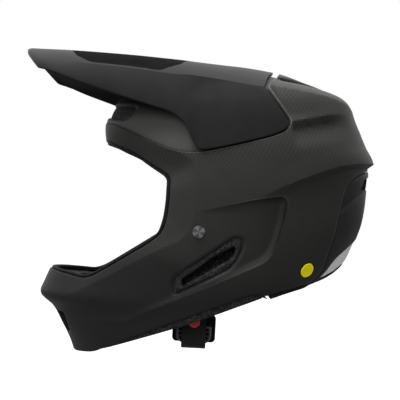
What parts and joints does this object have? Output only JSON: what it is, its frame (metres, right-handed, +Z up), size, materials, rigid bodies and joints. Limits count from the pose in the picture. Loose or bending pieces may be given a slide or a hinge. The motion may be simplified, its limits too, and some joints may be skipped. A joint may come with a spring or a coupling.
{
  "type": "full face mountain bike helmet",
  "caption": "Full-face mountain bike helmet with a woven fibre shell, tilting visor, foam liner, padded low-friction liner and a chin strap closed with rings.",
  "frame": {"origin": "centre of the wearer's head, on the middle plane, at the height of the eyes", "axes": "-Y is the front of the helmet, +X the wearer's left, +Z up"},
  "size_m": [0.224, 0.3416, 0.2996],
  "materials": {
    "shell_weave": "satin clear coat over a woven fibre laminate",
    "cover_black": "fine moulded matt",
    "nape_grey": "smooth soft matt",
    "foam": "beaded foam, matt",
    "trim_rubber": "matt",
    "badge_yellow": "gloss",
    "rivet_steel": "turned",
    "visor_black": "fine moulded matt",
    "bush_plastic": "moulded",
    "stud_aluminium": "anodised",
    "slip_yellow": "thin sheet, satin",
    "pad_fabric": "brushed knit",
    "cheek_fabric": "brushed knit",
    "webbing": "woven tape",
    "flap_fabric": "plain knit with bound edges",
    "ring_steel": "satin grey",
    "snap_red": "gloss"
  },
  "bodies": {
    "shell": {"outer_shell": "shell_weave", "rear_cover": "cover_black", "nape_panel": "nape_grey", "foam_liner": "foam", "chin_foam": "foam", "brow_trim": "trim_rubber", "chin_trim": "trim_rubber", "neck_trim": "trim_rubber", "mouth_grille": "cover_black", "round_badge": "badge_yellow", "strap_rivet_left": "rivet_steel", "strap_rivet_right": "rivet_steel", "visor_stud_left": "stud_aluminium", "visor_stud_right": "stud_aluminium", "visor_stop": "trim_rubber", "slip_pin": "bush_plastic", "cheek_foam_left": "foam", "cheek_foam_right": "foam", "cheek_pad_left": "cheek_fabric", "cheek_pad_right": "cheek_fabric"},
    "visor": {"visor": "visor_black", "visor_bush_left": "bush_plastic", "visor_bush_right": "bush_plastic"},
    "slip": {"slip_liner": "slip_yellow", "slip_hub": "slip_yellow", "brow_pad": "pad_fabric", "crown_pad": "pad_fabric", "side_pad_left": "pad_fabric", "side_pad_right": "pad_fabric", "rear_pad": "pad_fabric"},
    "strap": {"strap_hanger_left": "rivet_steel", "strap_hanger_right": "rivet_steel", "strap_left": "webbing", "strap_right": "webbing", "strap_flap": "flap_fabric", "snap_cap": "snap_red", "snap_socket": "bush_plastic"},
    "outer_ring": {"ring_outer": "ring_steel"},
    "inner_ring": {"ring_inner_side": "ring_steel"}
  },
  "joints": [
    {"name": "visor_tilt", "type": "hinge", "parent": "shell", "child": "visor", "pos_m": [0, 0.022, 0.092], "axis": [-1, 0, 0], "range_deg": [0, 4]},
    {"name": "slip_turn", "type": "hinge", "parent": "shell", "child": "slip", "pos_m": [0, 0.004, 0.0965], "axis": [0, 0, 1], "range_deg": [-2, 2], "stiffness_Nm_per_rad": 4},
    {"name": "strap_swing", "type": "hinge", "parent": "shell", "child": "strap", "pos_m": [0, -0.036, -0.0286], "axis": [1, 0, 0], "range_deg": [-8, 8]},
    {"name": "outer_ring_swing", "type": "hinge", "parent": "strap", "child": "outer_ring", "pos_m": [0.0659, -0.04055, -0.11839], "axis": [0, -0.9987, 0.0506], "range_deg": [0, 3]},
    {"name": "inner_ring_swing", "type": "hinge", "parent": "strap", "child": "inner_ring", "pos_m": [0.0625, -0.04055, -0.11839], "axis": [0, 0.9987, -0.0506], "range_deg": [0, 6]}
  ]
}
